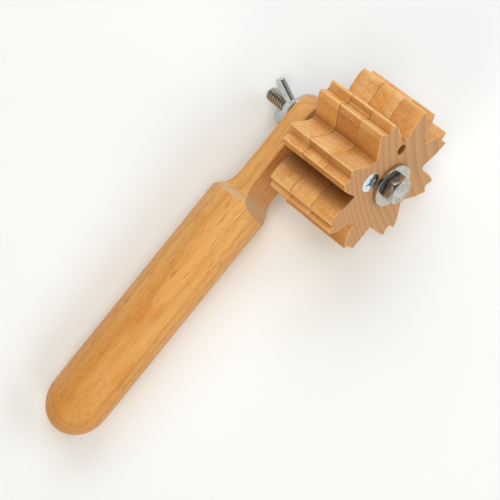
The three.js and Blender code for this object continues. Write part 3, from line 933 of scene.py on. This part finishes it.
def ply_beech(name, grain, pith, ring, shift, coarse, face_bands=False):
    """A ply's beech. Its rims are golden, paler on the ridges as a painted highlight and browner in the
    hollows and notches as painted shade, with growth rings, fine lines left along the bolt's axis by the
    moulding cutter, flecks, and squiggles with open pores where the rim cuts across the grain. coarse is how
    open and brown that end grain is. Flanks that face one side are darker, as painted shade, and show grain
    that the cutter tore. A thin dark glue line that breaks up here and there runs between the plies, and one
    valley has a painted shadow. The faces are a pinkish tan. On the front ply the face's rings are arcs about
    a far
    centre, closer together towards one side: their phase is a constant less the count times
    e^(-s / crowding), where s is the reach less the distance to that centre."""
    maker = Maker(name)
    tool = maker.tool_place()
    x, y, z = maker.parts(tool)
    place = maker.stretched(maker.turned(tool, grain), (1.0, 1.0, 1.0), shift)
    inset, ridge, hollow = [maker.mark(kind) for kind in ("inset", "ridge", "hollow")]
    face = inset.rise(0.03, 0.8)
    rings = maker.ramp((pith_distance(maker, place, pith, 7.0) / ring).fraction(), RING_LINE)
    if face_bands:
        drift = (maker.noise(place, (0.02, 0.02, 0.05)) - 0.5) * 3.0
        side = RINGS_REACH - apart(x - RINGS_X, z - RINGS_Z) + drift
        crowd = (side * (-1 / RINGS_CROWDING)).exponent()
        rings = maker.ramp((RINGS_PHASE - crowd * RINGS_COUNT).fraction(), RING_BAND)
    end = maker.facing(grain).rise(0.5, 0.95)
    torn_and_shaded = maker.facing(TORN_AND_SHADED_SIDE).rise(0.7, 1.0)
    patches = maker.noise(place, (0.05, 0.12, 0.12), 2.0)
    fibres = maker.noise(place, (0.07, 1.9, 1.9), 4.0, 0.66)
    pores = maker.noise(place, (3.4, 3.6, 3.6), 4.0, 0.7, shift=(3.0, 3.0, 7.0))
    squiggle = maker.noise(place, (0.4, 0.6, 0.6), 2.0, 0.5, 1.4, shift=(1.0, 2.0, 3.0)).band(0.5, 0.045)
    cutter = maker.noise(tool, (2.4, 0.04, 2.4), 3.0, 0.62)
    marks = flecks(maker, place, 5.0, 0.7, 0.6) * (1 - end) * (1 - face)
    broken = maker.noise(tool, (0.3, 0.3, 0.3), 2.0, shift=(2.0, 5.0, 1.0)).rise(0.4, 0.6)
    pitch = PLY_THICKNESS + GLUE_LINE
    front_seam = y.band(pitch - GLUE_LINE / 2, 0.24) * (broken * 0.45 + 0.1)
    rear_seam = y.band(2 * pitch - GLUE_LINE / 2, 0.28) * (broken * 0.45 + 0.4)
    rim = maker.mix(patches.rise(0.34, 0.66), PALE_BEECH, GOLD_BEECH)
    rim = maker.mix(rings * 0.16, rim, BROWN_BEECH)
    rim = maker.mix(end * (0.1 + coarse * 0.4), rim, DEEP_BEECH)
    # Painted shade: flanks that face one side are darker; the same mask gives them open pores and pale
    # specks.
    rim = maker.mix(torn_and_shaded * 0.5, rim, DEEP_BEECH)
    rim = maker.mix(fibres.rise(0.42, 0.68) * 0.22, rim, DEEP_BEECH)
    rim = maker.mix(cutter.rise(0.45, 0.7) * 0.18, rim, DEEP_BEECH)
    rim = maker.mix((end * squiggle * 0.5).within(), rim, FLECK_BEECH)
    rim = maker.mix((torn_and_shaded * coarse * 0.35).within(), rim, BROWN_BEECH)
    rim = maker.mix(((end * 0.3 + torn_and_shaded * 0.7) * pores.rise(0.44, 0.62) * coarse).within(), rim, BROWN_BEECH)
    rim = maker.mix((torn_and_shaded * (0.5 - pores).rise(0.0, 0.12) * coarse * 0.9).within(), rim, PALE_BEECH)
    rim = maker.mix((marks * 0.6).within(), rim, FLECK_BEECH)
    # Painted highlight: the ridges of the outline are paler.
    rim = maker.mix(ridge.rise(0.04, 0.3) * 0.7, rim, PALE_BEECH)
    # Painted shadow in one valley, and painted shade in the hollows and notches: browner, then darker where
    # deep.
    painted_shadow = (1 - apart(x - PAINTED_SHADOW_X, z - PAINTED_SHADOW_Z) / PAINTED_SHADOW_RADIUS).rise(0.0, 0.7)
    rim = maker.mix((0 - hollow).rise(0.1, 2.2) * 0.7, rim, BROWN_BEECH)
    rim = maker.mix((0 - ridge).rise(0.05, 0.45) * 0.55, rim, BROWN_BEECH)
    deep = (0 - hollow).rise(1.4, 3.4) * 0.45 + (0 - ridge).rise(0.15, 0.6) * 0.4 + painted_shadow * 0.9
    rim = maker.mix(deep.within(), rim, DARK_BEECH)
    rim = maker.mix((front_seam + rear_seam).within(), rim, DARK_BEECH)
    flat = maker.mix((rings * 0.7).within(), FACE_PALE, FACE_DEEP)
    flat = maker.mix(fibres.rise(0.4, 0.8) * 0.35, flat, FACE_DEEP)
    flat = maker.mix(pores.rise(0.58, 0.7) * 0.12, flat, BROWN_BEECH)
    rough = (end * 0.5 + torn_and_shaded) * (pores * (0.2 + coarse) + squiggle * 0.15)
    height = fibres * 0.3 + cutter * (1 - face) * 0.35 - marks * 0.15 - rough
    return maker.surface(
        Base_Color=maker.mix(face, rim, flat),
        Roughness=fibres * 0.14 + 0.46,
        Normal=maker.bump(height, 0.13, 0.7),
        Specular_IOR_Level=0.22,
    )


def metal(name, base, dark, roughness, scratch, marks=0.5, thread=None):
    """Zinc plate: a mottled tone with fine scratches. thread, where given, is a darker, browner tone on the
    bolt's thread behind the wheel, painted shade for its grooves."""
    maker = Maker(name)
    place = maker.tool_place()
    mottle = maker.noise(place, (0.35, 0.35, 0.35), 3.0)
    lines = maker.noise(place, scratch, 4.0, 0.65)
    nicks = maker.noise(place, (0.9, 0.9, 0.2), 4.0, 0.7, shift=(5.0, 1.0, 2.0)).rise(0.6, 0.75)
    colour = maker.mix((mottle.rise(0.35, 0.7) * marks).within(), base, dark)
    colour = maker.mix((lines.rise(0.45, 0.75) * marks + nicks * 0.4).within(), colour, dark)
    rough = mottle * 0.12 + lines * 0.1 + (roughness - 0.11)
    if thread:
        # Painted shade: the thread behind the wheel is darker and browner.
        behind = maker.parts(place)[1].rise(30.0, 40.0)
        colour = maker.mix(behind, colour, thread)
        rough = rough + behind * 0.04
    return maker.surface(
        Base_Color=colour,
        Metallic=1.0,
        Roughness=rough,
        Normal=maker.bump(lines + nicks * 0.5, 0.012, 0.5),
    )


GRIP_BEECH = grip_beech()
FACE_BEECH = ply_beech("beech_face", 71.4, (5.0, 90.0), 2.9, (0.0, 0.0, 0.0), 0.5, face_bands=True)
MIDDLE_BEECH = ply_beech("beech_middle", -27.0, (10.0, 75.0), 2.4, (13.0, 2.0, 5.0), 0.6)
REAR_BEECH = ply_beech("beech_rear", 62.0, (25.0, -80.0), 2.6, (31.0, 4.0, 9.0), 0.0)
WASHER_ZINC = metal("washer_zinc", linear(200, 195, 186), linear(166, 161, 150), 0.17, (0.6, 0.6, 1.6))
SCREW_ZINC = metal("screw_zinc", linear(226, 234, 240), linear(190, 202, 212), 0.14, (0.8, 0.8, 0.8), 0.4)
BOLT_ZINC = metal(
    "bolt_zinc",
    linear(206, 202, 194),
    linear(150, 143, 132),
    0.2,
    (1.8, 0.12, 1.8),
    marks=0.7,
    thread=linear(190, 182, 166),
)
CAST_ZINC = metal("cast_zinc", linear(208, 214, 212), linear(160, 172, 184), 0.19, (1.1, 1.1, 1.1), 0.4)


# Pieces


def dress(piece, material, body, slot, *nodes):
    """Gives a piece its material and its body, and hides the frame's nodes that it stands for."""
    piece.data.materials.clear()
    piece.data.materials.append(material)
    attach(piece, body)
    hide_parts(*nodes)


outline = wheel_outline()
dress(ply("ply_front_beech", 0, outline), FACE_BEECH, "wheel", "beech_face", "wheel_ply_front")
dress(ply("ply_middle_beech", 1, outline), MIDDLE_BEECH, "wheel", "beech_middle", "wheel_ply_middle")
dress(ply("ply_rear_beech", 2, outline), REAR_BEECH, "wheel", "beech_rear", "wheel_ply_rear")
dress(screw_piece(), SCREW_ZINC, "wheel", "zinc", "ply_screw")
dress(handle_piece(), GRIP_BEECH, "handle", "beech", "handle")
dress(bolt_piece(), BOLT_ZINC, "handle", "steel", "axle_bolt")
dress(washer_piece("head_washer_zinc", HEAD_WASHER_FRONT), WASHER_ZINC, "handle", "zinc", "head_washer")
dress(washer_piece("wheel_washer_zinc", WHEEL_WASHER_FRONT), WASHER_ZINC, "handle", "zinc", "wheel_washer")
dress(lock_nut_piece(), CAST_ZINC, "handle", "steel", "lock_nut")
dress(washer_piece("rear_washer_zinc", REAR_WASHER_FRONT), WASHER_ZINC, "rear_washer", "zinc", "rear_washer")
dress(wing_nut_piece(), CAST_ZINC, "wing_nut", "zinc", "wing_nut")


# Floor, light and camera


def floor_piece(reach=2.5):
    """A flat square sheet of pale paper that reaches so many metres each way."""
    mesh = bpy.data.meshes.new("floor")
    corners = [(-reach, -reach, 0.0), (reach, -reach, 0.0), (reach, reach, 0.0), (-reach, reach, 0.0)]
    mesh.from_pydata(corners, [], [(0, 1, 2, 3)])
    floor = placed("floor", mesh)
    maker = Maker("floor_paper")
    floor.data.materials.append(maker.surface(Base_Color=linear(247, 246, 242), Roughness=0.9))


# The lamps stand round the tool, all at one distance: azimuth and elevation in degrees, watts, and tint.
LAMP_DISTANCE = 1.3
LAMP_SIZE = 0.55
LAMP_AIM = Vector((0.0, 0.0, 0.02))
COOL = (0.75, 0.85, 1.0)
COOLISH = (0.84, 0.92, 1.0)
PLAIN = (0.98, 1.0, 0.95)
WARM = (1.0, 0.94, 0.84)
LAMPS = {
    "right": (30, 40, 4.1, COOL),
    "right_back": (60, 40, 2.3, PLAIN),
    "left": (180, 40, 4.3, WARM),
    "left_front": (240, 40, 2.8, PLAIN),
    "front": (300, 40, 2.8, COOLISH),
    "right_front": (330, 40, 3.8, COOL),
    "high": (45, 62, 2.3, COOLISH),
    "overhead": (0, 88, 5.2, WARM),
}


def lamps():
    """Places the lamps, square and turned towards the tool. The metal mirrors only the one on the right, and
    otherwise the room."""
    for name, (azimuth, elevation, power, tint) in LAMPS.items():
        around = math.radians(azimuth)
        up = math.radians(elevation)
        way = Vector((math.cos(up) * math.cos(around), math.cos(up) * math.sin(around), math.sin(up)))
        light = bpy.data.lights.new(name, "AREA")
        light.size = LAMP_SIZE
        light.energy = power
        light.color = tint
        made = placed(name, light)
        made.location = way * LAMP_DISTANCE
        made.rotation_euler = (LAMP_AIM - made.location).to_track_quat("-Z", "Y").to_euler()
        made.visible_glossy = name == "right"


# The room's brightness by the height of the direction looked in: pale walls, and a dark patch straight up.
ROOM = [(0.0, 0.92), (0.2, 0.98), (0.34, 1.0), (0.46, 0.26), (0.72, 0.28), (0.84, 0.07), (1.0, 0.02)]


def sky():
    """A room that gives no light of its own, but shows in the metal and behind the floor."""
    maker = Maker("studio", "worlds")
    direction = maker.node("ShaderNodeTexCoord", output="Generated")
    tone = maker.ramp(maker.parts(direction)[2], ROOM)
    rays = ["Is Camera Ray", "Is Glossy Ray", "Is Transmission Ray"]
    seen, mirrored, through = maker.node("ShaderNodeLightPath", output=rays)
    links = {"Color": tone, "Strength": (seen + mirrored + through).within()}
    background = maker.node("ShaderNodeBackground", {}, links)
    maker.node("ShaderNodeOutputWorld", {}, {"Surface": background})
    bpy.context.scene.world = maker.made


# The camera, fitted to the photograph: its right and forward directions in the tool's frame, and how far the
# tool's origin lies to its right, below it and in front of it, in millimetres
CAMERA_RIGHT = (0.62918054, -0.65889863, -0.41229169)
CAMERA_FORWARD = (-0.04281359, 0.50025821, -0.86481716)
TOOL_FROM_CAMERA = (53.72021, -25.4514, 575.99606)
CAMERA_LENS = 108.0


def camera():
    """The camera: its down direction is square to the other two."""
    right = np.array(CAMERA_RIGHT)
    forward = np.array(CAMERA_FORWARD)
    down = np.cross(forward, right)
    place = in_row([-np.array(TOOL_FROM_CAMERA) @ np.stack([right, down, forward])])[0]
    axes = TOOL_MATRIX @ Matrix(np.stack([right, -down, -forward]).tolist()).transposed()
    data = bpy.data.cameras.new("camera")
    data.lens = CAMERA_LENS
    data.sensor_width = 36.0
    data.clip_start = 0.01
    made = placed("camera", data)
    made.matrix_world = Matrix.Translation(Vector(place)) @ axes.to_4x4()
    bpy.context.scene.camera = made


floor_piece()
sky()
lamps()
camera()
bpy.context.scene.view_settings.view_transform = "Standard"
